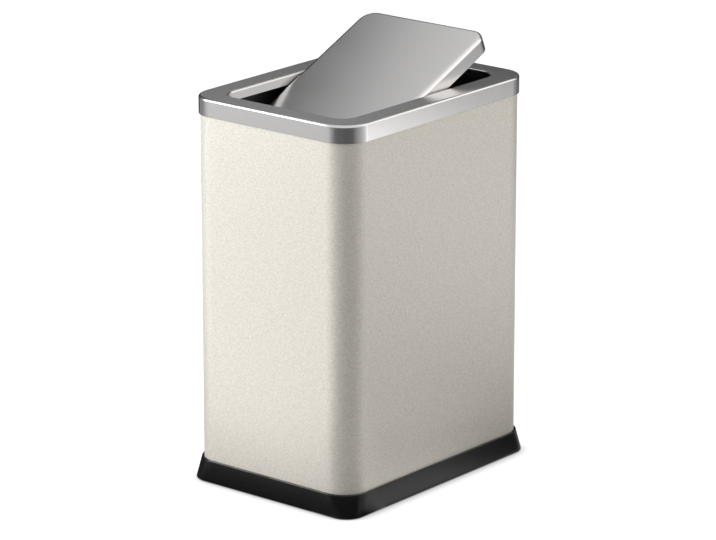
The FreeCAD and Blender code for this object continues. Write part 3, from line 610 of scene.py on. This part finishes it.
# %% Shape of one screw
DOME = ((0.60, 1.0), (0.84, 0.86), (0.96, 0.58), (1.0, 0.3), (1.0, 0.0))
SCREW_TURNS = [9.0 * i for i in range(40)]
CROSS_ARM, CROSS_HALF = 0.26, 0.055
CROSS_TAPER, CROSS_FLOOR = 0.8, 0.35


def cross_outline(head):
    """The twelve corners of the recess on a head of this diameter."""
    arm, half = head * CROSS_ARM, head * CROSS_HALF
    return [(half, arm), (half, half), (arm, half), (arm, -half), (half, -half), (half, -arm),
            (-half, -arm), (-half, -half), (-arm, -half), (-arm, half), (-half, half), (-half, arm)]


def screw_shape(head, rise, shank, length):
    """Points, faces, and the two loops round the flat of one screw, seated at z = 0, head up."""
    steps = len(SCREW_TURNS)
    points = []
    for wide, high in DOME:
        points += ring(SCREW_TURNS, head / 2 * wide, rise * high)
    for level in (0.0, -length):
        points += ring(SCREW_TURNS, shank / 2, level)
    faces = []
    for row in range(len(DOME) + 1):
        for i in range(steps):
            a, b = row * steps + i, row * steps + (i + 1) % steps
            faces.append((a, a + steps, b + steps, b))
    start = len(points)
    faces.append(tuple(range(start - steps, start)))
    cross = cross_outline(head)
    sides = len(cross)
    points += [(x, y, rise) for x, y in cross]
    points += [(x * CROSS_TAPER, y * CROSS_TAPER, rise * CROSS_FLOOR) for x, y in cross]
    for i in range(sides):
        j = (i + 1) % sides
        faces.append((start + i, start + j, start + sides + j, start + sides + i))
    faces.append(tuple(range(start + 2 * sides - 1, start + sides - 1, -1)))
    return points, faces, (range(steps), range(start, start + sides))


print("a screw has", len(screw_shape(0.007, 0.002, 0.0035, 0.006)[0]), "points")

# %% [markdown]
# All the screws of a CAD node become one piece, which stands in for that node. The boxes of
# the nodes give the places, and the triangle fill closes the flat between the dome and the
# cross. The base screws point up from below the tray, and the weight screws go in sideways
# through the straps.

# %% Set the screws
BASE_HEAD, BASE_RISE, BASE_SHANK = 0.0070, 0.0020, 0.0035
WEIGHT_HEAD, WEIGHT_RISE, WEIGHT_SHANK, WEIGHT_LENGTH = 0.0075, 0.0026, 0.0040, 0.0102


def box_corners(node):
    return [Vector(corner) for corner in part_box(node)]


def set_screws(name, node, body, places, sizes):
    """One piece for all screws of a CAD node; places are (point, direction of the head)."""
    gathered = bmesh.new()
    for point, out in places:
        points, faces, loops = screw_shape(*sizes)
        turn = Vector(out).to_track_quat("Z", "Y").to_matrix().to_4x4()
        corners = [gathered.verts.new(Matrix.Translation(point) @ turn @ Vector(p)) for p in points]
        for face in faces:
            gathered.faces.new([corners[i] for i in face]).smooth = len(face) == 4
        edges = []
        for loop in loops:
            following = [*loop[1:], loop[0]]
            edges += [gathered.edges.get((corners[a], corners[b])) for a, b in zip(loop, following)]
        bmesh.ops.triangle_fill(gathered, use_beauty=True, edges=edges)
    bmesh.ops.recalc_face_normals(gathered, faces=gathered.faces)
    mesh = bpy.data.meshes.new(name)
    gathered.to_mesh(mesh)
    gathered.free()
    mesh.materials.append(finishes["zinc_steel"])
    piece = bpy.data.objects.new(name, mesh)
    scene.collection.objects.link(piece)
    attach(piece, body)
    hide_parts(node)
    return piece


low, high = box_corners("base_screws")
seat = low.z + BASE_RISE
across, deep = high.x - BASE_HEAD / 2, high.y - BASE_HEAD / 2
places = [((x * across, y * deep, seat), (0, 0, -1)) for x in (-1, 1) for y in (-1, 1)]
base_set = set_screws("base_cross_screws", "base_screws", "bin", places,
                      (BASE_HEAD, BASE_RISE, BASE_SHANK, high.z - seat))

low, high = box_corners("weight_screws")
middle = (low + high) / 2
places = [((side * (high.x - WEIGHT_RISE), middle.y, middle.z), (side, 0, 0)) for side in (-1, 1)]
weight_set = set_screws("weight_cross_screws", "weight_screws", "lid", places,
                        (WEIGHT_HEAD, WEIGHT_RISE, WEIGHT_SHANK, WEIGHT_LENGTH))
print("screws:", base_set.name, weight_set.name)

# %% [markdown]
# The pivot plates are spot-welded to the back of the lip. Each weld leaves a round dent
# with a faint raised rim, the width of the electrode. They are seen when the frame is off.
# A few rings are enough for the dent, shaded smooth, and lie on the plate's outer face.

# %% Spot welds on the pivot plates
WELD_RADIUS, WELD_FROM_END, WELD_FROM_TOP = 0.0021, 0.0034, 0.0036
WELD_TURNS = [360 * i / 28 for i in range(28)]
WELD_RINGS = ((1.0, 0.0), (0.9, 0.00009), (0.72, 0.00007), (0.6, 0.00002))


def weld_mark(name, centre, out, body):
    """A shallow ring on a flat face, looking along out."""
    steps, last = len(WELD_TURNS), len(WELD_RINGS) - 1
    turn = Vector(out).to_track_quat("Z", "Y")
    points = [Vector(centre) + turn @ point
              for wide, lift in WELD_RINGS for point in ring(WELD_TURNS, WELD_RADIUS * wide, lift)]
    faces = []
    for row in range(last):
        for i in range(steps):
            a, b = row * steps + i, row * steps + (i + 1) % steps
            faces.append((a, b, b + steps, a + steps))
    faces.append(tuple(range(last * steps, (last + 1) * steps)))
    return add_piece(name, points, faces, body, "zinc_steel", smooth=True)


for hand, side in (("left", -1), ("right", 1)):
    low, high = box_corners(f"pivot_plate_{hand}")
    face = high.x if side > 0 else low.x
    for place, end in (("front", -1), ("back", 1)):
        centre = (face, end * (high.y - WELD_FROM_END), high.z - WELD_FROM_TOP)
        weld_mark(f"plate_weld_{hand}_{place}", centre, (side, 0, 0), "top_cover")

# %% [markdown]
# Last, the size of the dressed bin is printed, in metres.

low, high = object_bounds()
print("dressed box, metres:", [round(b - a, 4) for a, b in zip(low, high)])
